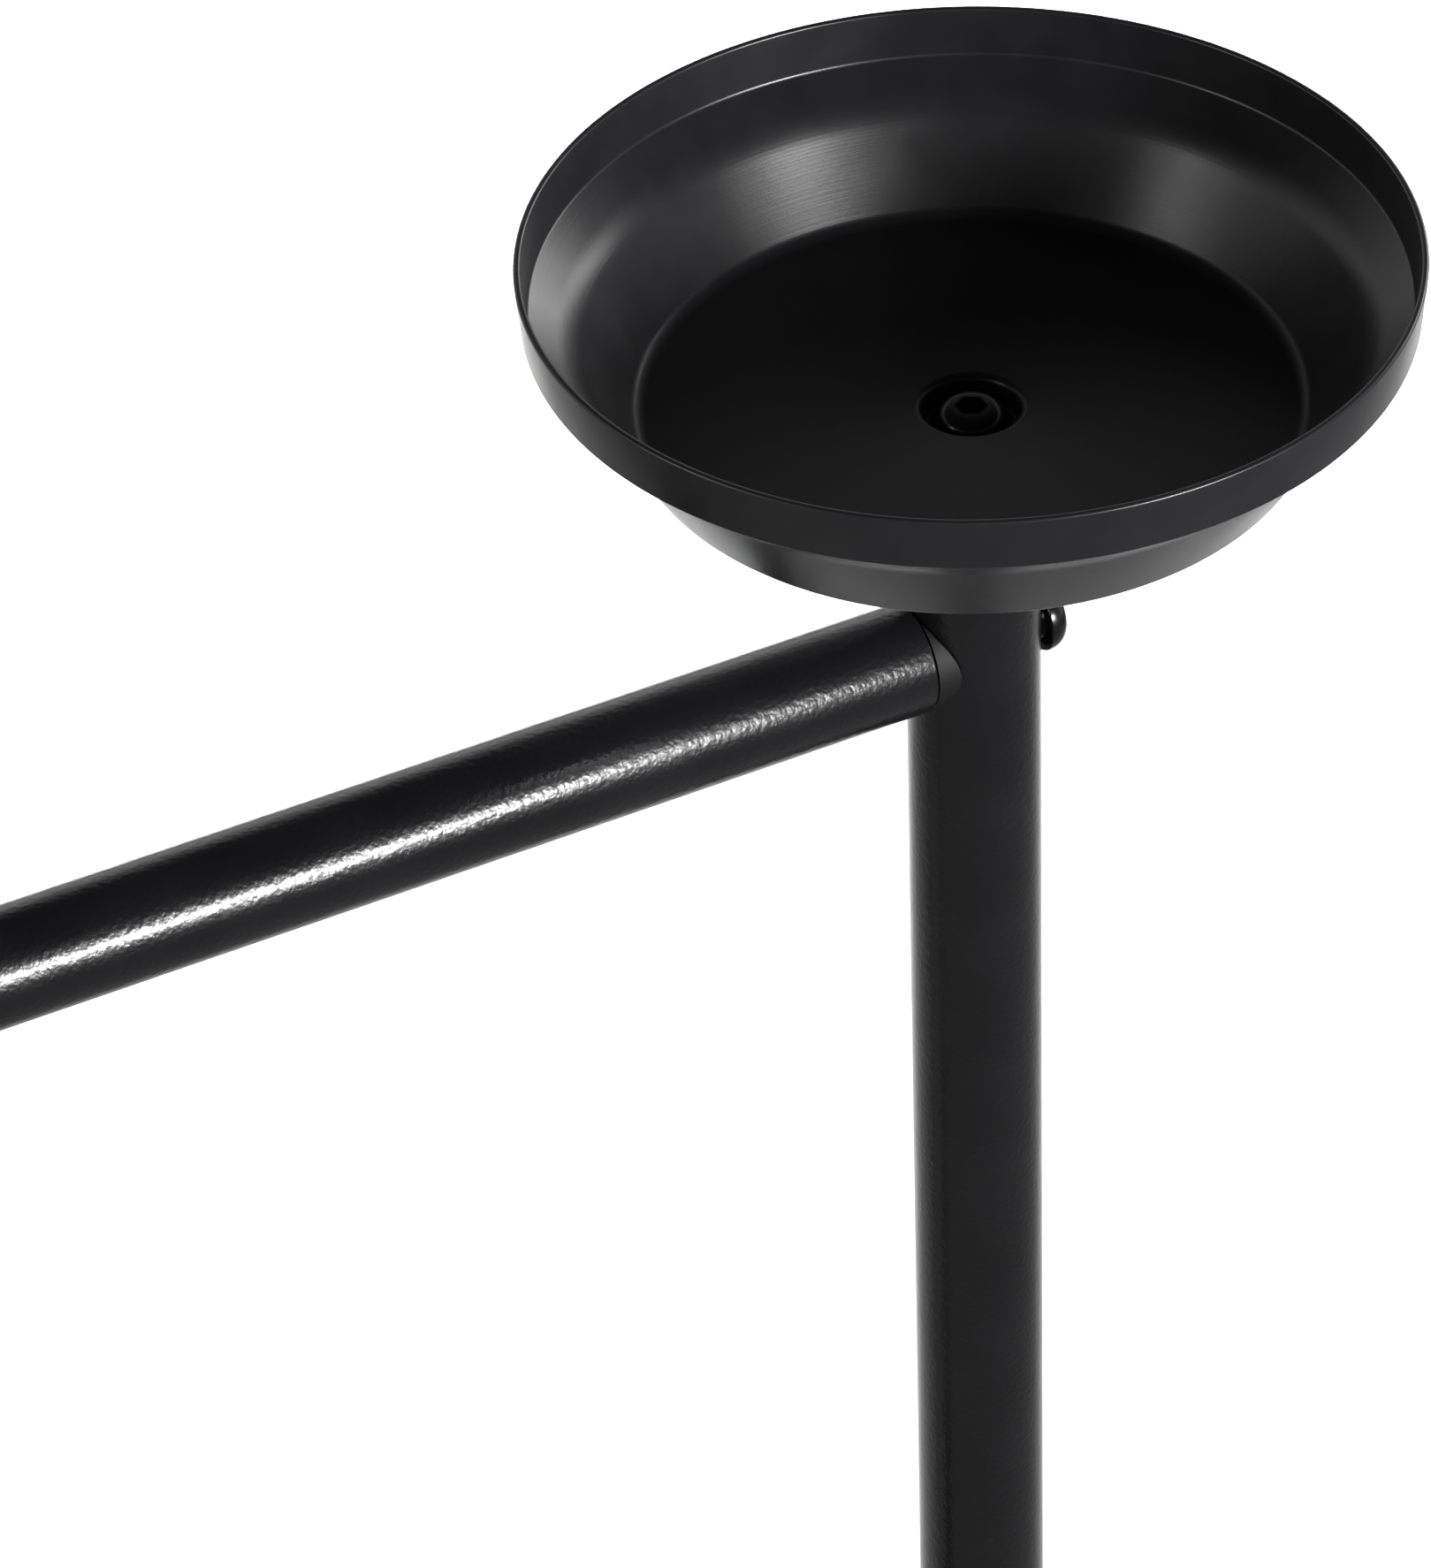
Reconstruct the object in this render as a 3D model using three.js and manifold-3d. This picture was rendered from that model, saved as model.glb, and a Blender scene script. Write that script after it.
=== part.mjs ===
// Valet stand in powder-coated steel tube. Two posts joined by two rails make a frame for
// trousers and towels, one post carries a round tray, and a mast behind the frame carries a
// jacket hanger. Every tube is cut square and seats on the tube it meets through a saddle-faced
// plug, drawn up by one M6 button-head bolt that passes through the crossing tube.
// Millimetres, +Z up. X runs from post to post, and the jacket hangs on the +Y side.
import * as THREE from 'three';
import { mergeVertices } from 'three/addons/utils/BufferGeometryUtils.js';
import Module from 'manifold-3d';

const wasm = await Module();
wasm.setup();

// ---------- driving dimensions ----------
const POST_R = 9.5;             // posts, mast, feet, rear base rail and hanger: 19 mm tube
const RAIL_R = 8;               // other rails and the mast spacer: 16 mm tube
const WALL = 1.2;               // tube wall
const GAP = 0.3;                // air left between pieces that touch
const POST_SPAN = 440;          // between the two post axes
const MAST_Y = 95;              // mast axis, behind the plane of the posts
const TRAY_RIM_Z = 900;         // top edge of the tray
const RAIL_BELOW_RIM = 65;      // top rail's axis below the tray's rim
const TROUSER_RAIL_Z = 600;
const HANGER_Z = 1095;          // hanger's axis where it crosses the mast
const FOOT_FRONT_Y = -105;
const FOOT_BACK_Y = 190;
const FRONT_RAIL_Y = -68;
const LEVELLER_INSET = 20;      // leveller's axis from the end of its foot

// tray, spun from sheet; pairs are a radius and a height from its rim
const TRAY_R = 61.5;            // outer skin, at the rim
const TRAY_DEPTH = 26.2;
const LIP_FOOT = [59.9, -7.2];  // inner skin, where the upright lip meets the shoulder
const SHOULDER = [54, -11.8];   // inner skin, where the shoulder rolls over into the wall
const SHOULDER_ROUND = 14;      // radius of that roll
const TRAY_FLOOR_R = 45.9;      // inner skin, where the wall meets the floor
const SHEET = 1;
const DIMPLE_R = 7.6;           // pressed seat for the centre screw, it drops into the post
const DIMPLE_DEPTH = 3.8;
const TRAY_PLUG_LENGTH = 20;

// hanger, one bent tube: level at the middle, sloping shoulders, tips that droop
const HANGER_LEVEL = 18;
const NECK_BEND_R = 60;
const SHOULDER_SLOPE = THREE.MathUtils.degToRad(20);
const SHOULDER_LENGTH = 128;
const TIP_BEND_R = 90;
const TIP_TURN = THREE.MathUtils.degToRad(26);
const TIP_STRAIGHT = 15;

// fasteners
const BOLT_R = 3;
const BOLT_CLEAR_R = BOLT_R + GAP;
const HEAD_R = 5.25;
const HEAD_H = 3.3;
const HEAD_EDGE = 0.5;          // upright edge of a button head
const HEAD_TOP_R = 2.9;         // the flat round its socket
const SOCKET_R = 4 / Math.sqrt(3);
const SOCKET_DEPTH = 1.9;
const BOLT_BITE = 16;           // how far a bolt reaches into a plug
const PLUG_LENGTH = 22;
const TRAY_SCREW_LENGTH = 16;
const NUT_SLEEVE_R = 4.3;
const NUT_SLEEVE_LENGTH = 13;

// end caps
const CAP_STEM = 12;
const CAP_RIM = 1;
const CAP_DOME = 3;
const CAP_TOP_R = 2;

// levelling feet
const PAD_R = 11;
const PAD_H = 7;
const FLANGE_H = 1;
const FLANGE_R = 6;
const SLEEVE_R = 4.5;
const SLEEVE_H = 9;
const STEM_TOP = 21;

// facets round each kind of piece
const TUBE_FACETS = 16;
const SMALL_FACETS = 10;
const TRAY_FACETS = 40;
const HANGER_STEPS = 30;
const ROLL_STEPS = 3;
const DOME_STEPS = 3;

// ---------- derived places ----------
const HALF_SPAN = POST_SPAN / 2;
const FOOT_Z = PAD_H + GAP + FLANGE_H + GAP + POST_R;
const TOP_RAIL_Z = TRAY_RIM_Z - RAIL_BELOW_RIM;
const POST_TOP_Z = TRAY_RIM_Z - TRAY_DEPTH - GAP;
const POST_FOOT_Z = FOOT_Z + POST_R + GAP;
const RAIL_END = HALF_SPAN - POST_R - GAP;
const MAST_TOP_Z = HANGER_Z - POST_R - GAP;

// The origin is on the floor under the middle of the whole outline. To the left that outline
// ends at a bolt head, to the right at the tray, and to front and back at the feet's caps.
const LEFT_EDGE = -HALF_SPAN - POST_R - GAP - HEAD_H;
const RIGHT_EDGE = HALF_SPAN + TRAY_R;
const CENTRE_X = (LEFT_EDGE + RIGHT_EDGE) / 2;
const CENTRE_Y = (FOOT_FRONT_Y + FOOT_BACK_Y) / 2;

const X = new THREE.Vector3(1, 0, 0);
const Y = new THREE.Vector3(0, 1, 0);
const Z = new THREE.Vector3(0, 0, 1);
const reversed = (axis) => axis.clone().negate();

// ---------- finishes ----------
const finishes = {
  tubeCoat: { color: 0x1b1b1c, roughness: 0.4, metalness: 0 },
  trayCoat: { color: 0x171718, roughness: 0.5, metalness: 0 },
  plastic: { color: 0x0c0c0c, roughness: 0.6, metalness: 0 },
  blackBolt: { color: 0x121212, roughness: 0.25, metalness: 0.5 },
  zinc: { color: 0xa9adb0, roughness: 0.35, metalness: 1 },
};

// ---------- solids ----------
function solidOf(geometry) {
  const loose = geometry.index ? geometry.toNonIndexed() : geometry;
  const bare = new THREE.BufferGeometry().setAttribute('position', loose.getAttribute('position'));
  const merged = mergeVertices(bare, 1e-4);
  const mesh = new wasm.Mesh({
    numProp: 3,
    vertProperties: merged.attributes.position.array,
    triVerts: new Uint32Array(merged.index.array),
  });
  return new wasm.Manifold(mesh);
}

function geometryOf(solid) {
  const mesh = solid.getMesh();
  const geometry = new THREE.BufferGeometry();
  geometry.setAttribute('position', new THREE.BufferAttribute(mesh.vertProperties, 3));
  geometry.setIndex(new THREE.BufferAttribute(mesh.triVerts, 1));
  geometry.computeVertexNormals();
  return geometry;
}

// A rod along an axis through the origin, from one distance to another.
function rod(radius, from, to, axis = Z, facets = TUBE_FACETS) {
  const geometry = new THREE.CylinderGeometry(radius, radius, to - from, facets);
  geometry.translate(0, (from + to) / 2, 0);
  geometry.applyQuaternion(new THREE.Quaternion().setFromUnitVectors(Y, axis));
  return solidOf(geometry);
}

// A profile of [radius, height] pairs turned about Z, its outside met on the way up.
function turned(profile, facets = TUBE_FACETS) {
  const points = profile.map(([radius, height]) => new THREE.Vector2(radius, height));
  const geometry = new THREE.LatheGeometry(points, facets);
  geometry.rotateX(Math.PI / 2);
  return solidOf(geometry);
}

// A square-cut tube along Z. Each hole has a height, an axis and a radius, and it goes through
// both walls, or with oneSide only through the wall that its axis points to.
function tube(radius, from, to, holes = []) {
  let wall = rod(radius, from, to).subtract(rod(radius - WALL, from - 1, to + 1));
  for (const { at, axis, r = BOLT_CLEAR_R, oneSide = false } of holes) {
    const drill = rod(r, oneSide ? 0 : -2 * radius, 2 * radius, axis, SMALL_FACETS);
    wall = wall.subtract(drill.translate([0, 0, at]));
  }
  return wall;
}

// A quarter round from its foot up to a flat top that ends on the axis, as [radius, height] pairs.
function dome(radius, topRadius, foot, height) {
  const points = [];
  for (let k = 0; k <= DOME_STEPS; k++) {
    const turn = (k / DOME_STEPS) * Math.PI / 2;
    const across = topRadius + (radius - topRadius) * Math.cos(turn);
    points.push([across, foot + height * Math.sin(turn)]);
  }
  points.push([0, foot + height]);
  return points;
}

// A domed cap whose stem is pushed into a tube's end: it faces +Z, and the tube ends at z = 0.
function endCap(radius) {
  const stem = radius - WALL - GAP;
  const crown = dome(radius, CAP_TOP_R, GAP + CAP_RIM, CAP_DOME);
  return turned([[0, -CAP_STEM], [stem, -CAP_STEM], [stem, GAP], [radius, GAP], ...crown]);
}

// The outside of an M6 button head whose flat side is at z = 0, and its hexagon socket.
const headCrown = [[HEAD_R, 0], ...dome(HEAD_R, HEAD_TOP_R, HEAD_EDGE, HEAD_H - HEAD_EDGE)];
const headSocket = () => rod(SOCKET_R, HEAD_H - SOCKET_DEPTH, HEAD_H + 1, Z, 6);

// A button-head bolt: the head faces +Z with its flat side at z = 0, and the shank runs down.
function buttonBolt(length) {
  const profile = [[0, -length], [BOLT_R, -length], [BOLT_R, 0], ...headCrown];
  return turned(profile, SMALL_FACETS).subtract(headSocket());
}

// ---------- the joint between two tubes, in its own frame ----------
// The crossing tube runs along Z through the origin, and the joined tube leaves along +X.

// The plug fills the joined tube's end, and its saddle face fits round the crossing tube.
function saddlePlug(tubeR, crossR) {
  const core = rod(tubeR - WALL - GAP, 0, crossR + PLUG_LENGTH, X);
  const shoulder = rod(tubeR - GAP, 0, crossR, X);
  const saddle = rod(crossR + GAP, -2 * POST_R, 2 * POST_R);
  const bore = rod(BOLT_CLEAR_R, 0, crossR + PLUG_LENGTH + 1, X, SMALL_FACETS);
  return core.add(shoulder).subtract(saddle).subtract(bore);
}

// The bolt's head is on the far side of the crossing tube, and its shank reaches to an end.
function crossBolt(crossR, end) {
  const seat = crossR + GAP;
  return buttonBolt(seat + end).rotate([0, -90, 0]).translate([-seat, 0, 0]);
}

// ---------- placing ----------
const valetStand = new THREE.Group();
const stand = new THREE.Group();
stand.position.set(-CENTRE_X, -CENTRE_Y, 0);
valetStand.add(stand);

function node(name, solid, finish, parent = stand) {
  const mesh = new THREE.Mesh(geometryOf(solid), new THREE.MeshStandardMaterial(finishes[finish]));
  mesh.name = name;
  parent.add(mesh);
  return mesh;
}

// Puts a mesh or group at a place, with its own X and Z axes along two given directions.
function aim(object, place, ownX, ownZ) {
  const ownY = ownZ.clone().cross(ownX);
  object.position.set(...place);
  object.quaternion.setFromRotationMatrix(new THREE.Matrix4().makeBasis(ownX, ownY, ownZ));
  return object;
}

// A plug where a tube of one radius leaves another, and by default the bolt that holds it.
function joint(name, place, along, across, tubeR, crossR, bolted = true) {
  const group = aim(new THREE.Group(), place, along, across);
  stand.add(group);
  node(name + '_plug', saddlePlug(tubeR, crossR), 'plastic', group);
  if (bolted) node(name + '_bolt', crossBolt(crossR, crossR + BOLT_BITE), 'blackBolt', group);
}

const sides = [['left', -1], ['right', 1]];

// A rail along X, with a joint at each end where it meets a tube that runs along another axis.
function rail(name, radius, y, z, across, holes = []) {
  const mesh = node(name, tube(radius, -RAIL_END, RAIL_END, holes), 'tubeCoat');
  aim(mesh, [0, y, z], Y, X);
  for (const [side, sign] of sides) {
    const inward = sign > 0 ? reversed(X) : X;
    joint(name + '_' + side, [sign * HALF_SPAN, y, z], inward, across, radius, POST_R);
  }
}

// ---------- posts, which stand on the feet ----------
for (const [side, sign] of sides) {
  const holes = [TOP_RAIL_Z, TROUSER_RAIL_Z].map((at) => ({ at, axis: X }));
  const post = node(side + '_post', tube(POST_R, POST_FOOT_Z, POST_TOP_Z, holes), 'tubeCoat');
  post.position.x = sign * HALF_SPAN;
  joint(side + '_post_foot', [sign * HALF_SPAN, 0, FOOT_Z], Z, Y, POST_R, POST_R);
}
const postCap = node('left_post_cap', endCap(POST_R), 'plastic');
postCap.position.set(-HALF_SPAN, 0, POST_TOP_Z);

// ---------- rails ----------
const tieHoles = [
  { at: 0, axis: reversed(X), r: NUT_SLEEVE_R + GAP, oneSide: true },
  { at: 0, axis: X, oneSide: true },
];
rail('top_rail', RAIL_R, 0, TOP_RAIL_Z, Z, tieHoles);
rail('trouser_rail', RAIL_R, 0, TROUSER_RAIL_Z, Z);
rail('front_base_rail', RAIL_R, FRONT_RAIL_Y, FOOT_Z, Y);
rail('rear_base_rail', POST_R, MAST_Y, FOOT_Z, Y, [{ at: 0, axis: Y }]);

// ---------- feet, each with a cap at both ends ----------
const levellers = [['front', FOOT_FRONT_Y + LEVELLER_INSET], ['back', FOOT_BACK_Y - LEVELLER_INSET]];
const footEnds = [['front', FOOT_FRONT_Y, reversed(Y)], ['back', FOOT_BACK_Y, Y]];
for (const [side, sign] of sides) {
  const holes = [
    { at: FRONT_RAIL_Y, axis: X },
    { at: MAST_Y, axis: X },
    { at: 0, axis: Y },
    ...levellers.map(([, at]) => ({ at, axis: Y, r: SLEEVE_R + GAP, oneSide: true })),
  ];
  const foot = node(side + '_foot', tube(POST_R, FOOT_FRONT_Y, FOOT_BACK_Y, holes), 'tubeCoat');
  aim(foot, [sign * HALF_SPAN, 0, FOOT_Z], X, Y);
  for (const [end, y, outward] of footEnds) {
    const cap = node(side + '_foot_' + end + '_cap', endCap(POST_R), 'plastic');
    aim(cap, [sign * HALF_SPAN, y, FOOT_Z], X, outward);
  }
}

// ---------- levelling feet: a threaded insert in the tube, and a pad on an M6 screw ----------
const insertProfile = [
  [BOLT_CLEAR_R, 0], [FLANGE_R, 0], [FLANGE_R, FLANGE_H], [SLEEVE_R, FLANGE_H],
  [SLEEVE_R, FLANGE_H + SLEEVE_H], [BOLT_CLEAR_R, FLANGE_H + SLEEVE_H], [BOLT_CLEAR_R, 0],
];
const padProfile = [
  [0, 0], [PAD_R - 1.2, 0], [PAD_R, 1.2], [PAD_R, 3.6], [PAD_R - 3, 5.4], [5, 6], [5, PAD_H],
  [BOLT_R, PAD_H], [BOLT_R, STEM_TOP], [0, STEM_TOP],
];
for (const [side, sign] of sides) {
  for (const [end, y] of levellers) {
    const insert = node(side + '_' + end + '_insert', turned(insertProfile, SMALL_FACETS), 'zinc');
    insert.position.set(sign * HALF_SPAN, y, PAD_H + GAP);
    const leveller = node(side + '_' + end + '_leveller', turned(padProfile), 'plastic');
    leveller.position.set(sign * HALF_SPAN, y, 0);
  }
}

// ---------- mast, on the rear base rail ----------
const mastWall = tube(POST_R, POST_FOOT_Z, MAST_TOP_Z, [{ at: TOP_RAIL_Z, axis: Y }]);
node('mast', mastWall, 'tubeCoat').position.y = MAST_Y;
joint('mast_base', [0, MAST_Y, FOOT_Z], Z, X, POST_R, POST_R);
joint('hanger_seat', [0, MAST_Y, HANGER_Z], reversed(Z), X, POST_R, POST_R);

// ---------- spacer that ties the mast to the top rail ----------
const spacerWall = tube(RAIL_R, RAIL_R + GAP, MAST_Y - POST_R - GAP);
aim(node('mast_spacer', spacerWall, 'tubeCoat'), [0, 0, TOP_RAIL_Z], X, Y);
joint('spacer_rail', [0, 0, TOP_RAIL_Z], Y, X, RAIL_R, RAIL_R, false);
joint('spacer_mast', [0, MAST_Y, TOP_RAIL_Z], reversed(Y), Z, RAIL_R, POST_R, false);

// one long bolt from behind the mast, through the spacer, to a sleeve nut in the top rail
const spacerBolt = node('spacer_bolt', crossBolt(POST_R, MAST_Y + 5), 'blackBolt');
aim(spacerBolt, [0, MAST_Y, TOP_RAIL_Z], reversed(Y), Z);
const nutProfile = [
  [0, -1], [BOLT_CLEAR_R, -1], [BOLT_CLEAR_R, -NUT_SLEEVE_LENGTH],
  [NUT_SLEEVE_R, -NUT_SLEEVE_LENGTH], [NUT_SLEEVE_R, 0], ...headCrown,
];
const spacerNut = node('spacer_nut', turned(nutProfile, SMALL_FACETS).subtract(headSocket()), 'blackBolt');
aim(spacerNut, [0, -RAIL_R - GAP, TOP_RAIL_Z], X, reversed(Y));

// ---------- hanger ----------
// The axis of one half, from the middle outward, as stretches of [length, turn downward].
const halfHanger = [
  [HANGER_LEVEL, 0],
  [NECK_BEND_R * SHOULDER_SLOPE, SHOULDER_SLOPE],
  [SHOULDER_LENGTH, 0],
  [TIP_BEND_R * TIP_TURN, TIP_TURN],
  [TIP_STRAIGHT, 0],
];
const halfHangerLength = halfHanger.reduce((sum, [length]) => sum + length, 0);

class HangerAxis extends THREE.Curve {
  getPoint(t, target = new THREE.Vector3()) {
    const side = Math.sign(2 * t - 1);
    let remaining = Math.abs(2 * t - 1) * halfHangerLength;
    let slope = 0;
    target.set(0, 0, 0);
    for (const [length, turn] of halfHanger) {
      const run = Math.min(remaining, length);
      const bend = turn * run / length;
      const chord = bend ? 2 * Math.sin(bend / 2) * run / bend : run;
      target.x += side * chord * Math.cos(slope + bend / 2);
      target.z -= chord * Math.sin(slope + bend / 2);
      slope += bend;
      remaining -= run;
    }
    return target;
  }
}

// A round outline as a many-sided shape or hole.
function ring(Outline, radius) {
  const points = [];
  for (let k = 0; k < TUBE_FACETS; k++) {
    const turn = (k / TUBE_FACETS) * 2 * Math.PI;
    points.push(new THREE.Vector2(radius * Math.cos(turn), radius * Math.sin(turn)));
  }
  return new Outline(points);
}

const hangerSection = ring(THREE.Shape, POST_R);
hangerSection.holes.push(ring(THREE.Path, POST_R - WALL));
const hangerAxis = new HangerAxis();
const hangerWall = solidOf(new THREE.ExtrudeGeometry(hangerSection, {
  steps: HANGER_STEPS, bevelEnabled: false, extrudePath: hangerAxis,
}));
const hangerDrill = rod(BOLT_CLEAR_R, -2 * POST_R, 2 * POST_R, Z, SMALL_FACETS);
node('hanger', hangerWall.subtract(hangerDrill), 'tubeCoat').position.set(0, MAST_Y, HANGER_Z);

const tipSlope = SHOULDER_SLOPE + TIP_TURN;
const tip = hangerAxis.getPoint(1);
for (const [side, sign] of sides) {
  const outward = new THREE.Vector3(sign * Math.cos(tipSlope), 0, -Math.sin(tipSlope));
  const cap = node(side + '_hanger_cap', endCap(POST_R), 'plastic');
  aim(cap, [sign * tip.x, MAST_Y, HANGER_Z + tip.z], Y, outward);
}

// ---------- tray, on top of the right post; heights are counted from its rim ----------
// The bowl's shoulder slopes in under the lip, rolls over, and drops steeply to the floor.
const floorDepth = TRAY_DEPTH - SHEET;

// The inner skin from the rim down to the floor's edge, as [radius, height] pairs.
function innerSkin() {
  const foot = new THREE.Vector2(...LIP_FOOT);
  const corner = new THREE.Vector2(...SHOULDER);
  const base = new THREE.Vector2(TRAY_FLOOR_R, -floorDepth);
  const back = foot.clone().sub(corner).normalize();
  const on = base.clone().sub(corner).normalize();
  const half = Math.acos(back.dot(on)) / 2;
  const centre = corner.clone().addScaledVector(back.clone().add(on).normalize(), SHOULDER_ROUND / Math.sin(half));
  const start = corner.clone().addScaledVector(back, SHOULDER_ROUND / Math.tan(half)).sub(centre);
  const end = corner.clone().addScaledVector(on, SHOULDER_ROUND / Math.tan(half)).sub(centre);
  const sweep = Math.acos(start.dot(end) / SHOULDER_ROUND ** 2);
  const points = [[TRAY_R - SHEET, 0], LIP_FOOT];
  for (let k = 0; k <= ROLL_STEPS; k++) {
    const point = centre.clone()
      .addScaledVector(start, Math.sin(sweep * (1 - k / ROLL_STEPS)) / Math.sin(sweep))
      .addScaledVector(end, Math.sin(sweep * k / ROLL_STEPS) / Math.sin(sweep));
    points.push([point.x, point.y]);
  }
  points.push([base.x, base.y]);
  return points;
}

// The same skin one sheet's thickness further out.
function outerSkin(inner) {
  const outward = (from, to) => {
    const run = new THREE.Vector2(to[0] - from[0], to[1] - from[1]).normalize();
    return new THREE.Vector2(-run.y, run.x);
  };
  const points = [[TRAY_R, 0]];
  for (let k = 1; k < inner.length; k++) {
    const before = outward(inner[k - 1], inner[k]);
    const after = k + 1 < inner.length ? outward(inner[k], inner[k + 1]) : new THREE.Vector2(0, -1);
    const mitre = before.clone().add(after);
    mitre.multiplyScalar(2 * SHEET / mitre.lengthSq());
    points.push([inner[k][0] + mitre.x, inner[k][1] + mitre.y]);
  }
  return points;
}

const inner = innerSkin();
const hole = [BOLT_CLEAR_R, -TRAY_DEPTH - DIMPLE_DEPTH];
const trayProfile = [
  hole, [DIMPLE_R, hole[1]], [DIMPLE_R, -TRAY_DEPTH], ...outerSkin(inner).reverse(), ...inner,
  [DIMPLE_R - SHEET, -floorDepth], [DIMPLE_R - SHEET, hole[1] + SHEET], [hole[0], hole[1] + SHEET], hole,
];
const trayGroup = new THREE.Group();
trayGroup.position.set(HALF_SPAN, 0, TRAY_RIM_Z);
stand.add(trayGroup);
node('tray', turned(trayProfile, TRAY_FACETS), 'trayCoat', trayGroup);
const screwSeat = hole[1] + SHEET + GAP;
node('tray_screw', buttonBolt(TRAY_SCREW_LENGTH), 'blackBolt', trayGroup).position.z = screwSeat;
const plugTop = hole[1] - GAP;
const trayPlug = rod(POST_R - WALL - GAP, plugTop - TRAY_PLUG_LENGTH, plugTop)
  .subtract(rod(BOLT_CLEAR_R, plugTop - TRAY_PLUG_LENGTH - 1, plugTop + 1, Z, SMALL_FACETS));
node('tray_plug', trayPlug, 'plastic', trayGroup);

export default valetStand;
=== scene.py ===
# Valet stand in black powder-coated steel tube: a frame of two posts and two rails with a round
# tray on one post, a mast with a jacket hanger behind it, and two feet joined by base rails.
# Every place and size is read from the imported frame, in metres, +Z up.
import math

import bmesh
import bpy
from mathutils import Matrix, Vector


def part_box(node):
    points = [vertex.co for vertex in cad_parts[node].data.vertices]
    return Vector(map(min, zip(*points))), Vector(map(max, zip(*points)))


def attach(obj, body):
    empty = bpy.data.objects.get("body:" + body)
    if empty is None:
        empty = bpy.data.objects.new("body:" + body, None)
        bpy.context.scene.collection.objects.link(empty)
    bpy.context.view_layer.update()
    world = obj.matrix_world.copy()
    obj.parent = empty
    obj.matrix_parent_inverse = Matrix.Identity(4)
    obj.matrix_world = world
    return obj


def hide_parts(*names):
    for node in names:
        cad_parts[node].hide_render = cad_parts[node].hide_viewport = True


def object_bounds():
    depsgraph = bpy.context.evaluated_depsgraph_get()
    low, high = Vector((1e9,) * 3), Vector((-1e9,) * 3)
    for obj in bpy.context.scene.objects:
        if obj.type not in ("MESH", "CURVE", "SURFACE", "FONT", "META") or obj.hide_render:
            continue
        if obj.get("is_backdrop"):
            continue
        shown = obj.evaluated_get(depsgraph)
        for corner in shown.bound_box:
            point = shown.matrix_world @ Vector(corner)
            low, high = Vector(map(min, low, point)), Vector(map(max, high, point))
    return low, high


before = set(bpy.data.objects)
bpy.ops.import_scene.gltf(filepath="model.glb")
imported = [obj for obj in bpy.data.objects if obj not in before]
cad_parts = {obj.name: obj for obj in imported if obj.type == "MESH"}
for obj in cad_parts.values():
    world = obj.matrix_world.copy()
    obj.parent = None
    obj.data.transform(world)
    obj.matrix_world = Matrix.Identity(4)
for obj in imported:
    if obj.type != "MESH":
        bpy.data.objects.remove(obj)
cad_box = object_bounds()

MM = 0.001
BODY = "frame"                  # the body that everything but the levellers belongs to
X, Y, Z = Vector((1, 0, 0)), Vector((0, 1, 0)), Vector((0, 0, 1))


def middle(node):
    """The middle of a node's box."""
    low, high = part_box(node)
    return (low + high) / 2


# ---------------------------------------------------------------- camera
# A long lens looks down at the tray from the left and in front. It is aimed at the top of the tray
# post, below and to the left of the tray's middle, and is held slightly tilted.
CAMERA_DISTANCE = 982.6 * MM
CAMERA_HEIGHT_ANGLE = math.radians(34.261)
CAMERA_TURN = math.radians(-28.578)
CAMERA_ROLL = math.radians(2.12)
AIM_LEFT = 35.0 * MM
AIM_BELOW = 71.43 * MM
FILM_WIDTH = 36.0               # both in millimetres, as a Blender camera takes them
FOCAL_LENGTH = 167.45

rim_centre = middle("tray")
rim_centre.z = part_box("tray")[1].z
level = math.cos(CAMERA_HEIGHT_ANGLE)
to_camera = Vector((
    math.sin(CAMERA_TURN) * level,
    -math.cos(CAMERA_TURN) * level,
    math.sin(CAMERA_HEIGHT_ANGLE),
))
camera_right = Vector((math.cos(CAMERA_TURN), math.sin(CAMERA_TURN), 0))
camera_up = to_camera.cross(camera_right)
camera_place = rim_centre + to_camera * CAMERA_DISTANCE
aim_point = rim_centre - camera_right * AIM_LEFT - camera_up * AIM_BELOW

lens = bpy.data.cameras.new("long_lens")
lens.sensor_width = FILM_WIDTH
lens.lens = FOCAL_LENGTH
lens.clip_start = 0.05
camera = bpy.data.objects.new("camera", lens)
bpy.context.scene.collection.objects.link(camera)
look = (aim_point - camera_place).to_track_quat("-Z", "Y").to_matrix().to_4x4()
camera.matrix_world = Matrix.Translation(camera_place) @ look @ Matrix.Rotation(-CAMERA_ROLL, 4, "Z")
bpy.context.scene.camera = camera


# ---------------------------------------------------------------- floor and studio
# A roll of matt white paper covers the floor. It is lit hard behind the stand, so that it reads
# white there, and left dimmer in front. Soft boxes stand around, and the ceiling is dark.
def tone(hex_colour):
    """Turns an sRGB hex colour such as 8A8F94 into the linear colour that a shader takes."""
    linear = []
    for k in (0, 2, 4):
        value = int(hex_colour[k:k + 2], 16) / 255
        linear.append(value / 12.92 if value <= 0.04045 else ((value + 0.055) / 1.055) ** 2.4)
    return (*linear, 1.0)


def add_node(tree, kind, inputs=None, **settings):
    """Adds a shader node, gives it its settings, and fills or links its sockets."""
    node = tree.nodes.new("ShaderNode" + kind)
    for name, value in settings.items():
        setattr(node, name, value)
    for socket, value in (inputs or {}).items():
        if isinstance(value, bpy.types.NodeSocket):
            tree.links.new(value, node.inputs[socket])
        else:
            node.inputs[socket].default_value = value
    return node


def new_material(name):
    """Starts a material with only its output node."""
    material = bpy.data.materials.new(name)
    material.use_nodes = True
    material.node_tree.nodes.clear()
    return material, material.node_tree


def close_material(tree, shader):
    """Links a finished shader to the material's output."""
    add_node(tree, "OutputMaterial", {"Surface": shader.outputs[0]})


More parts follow.
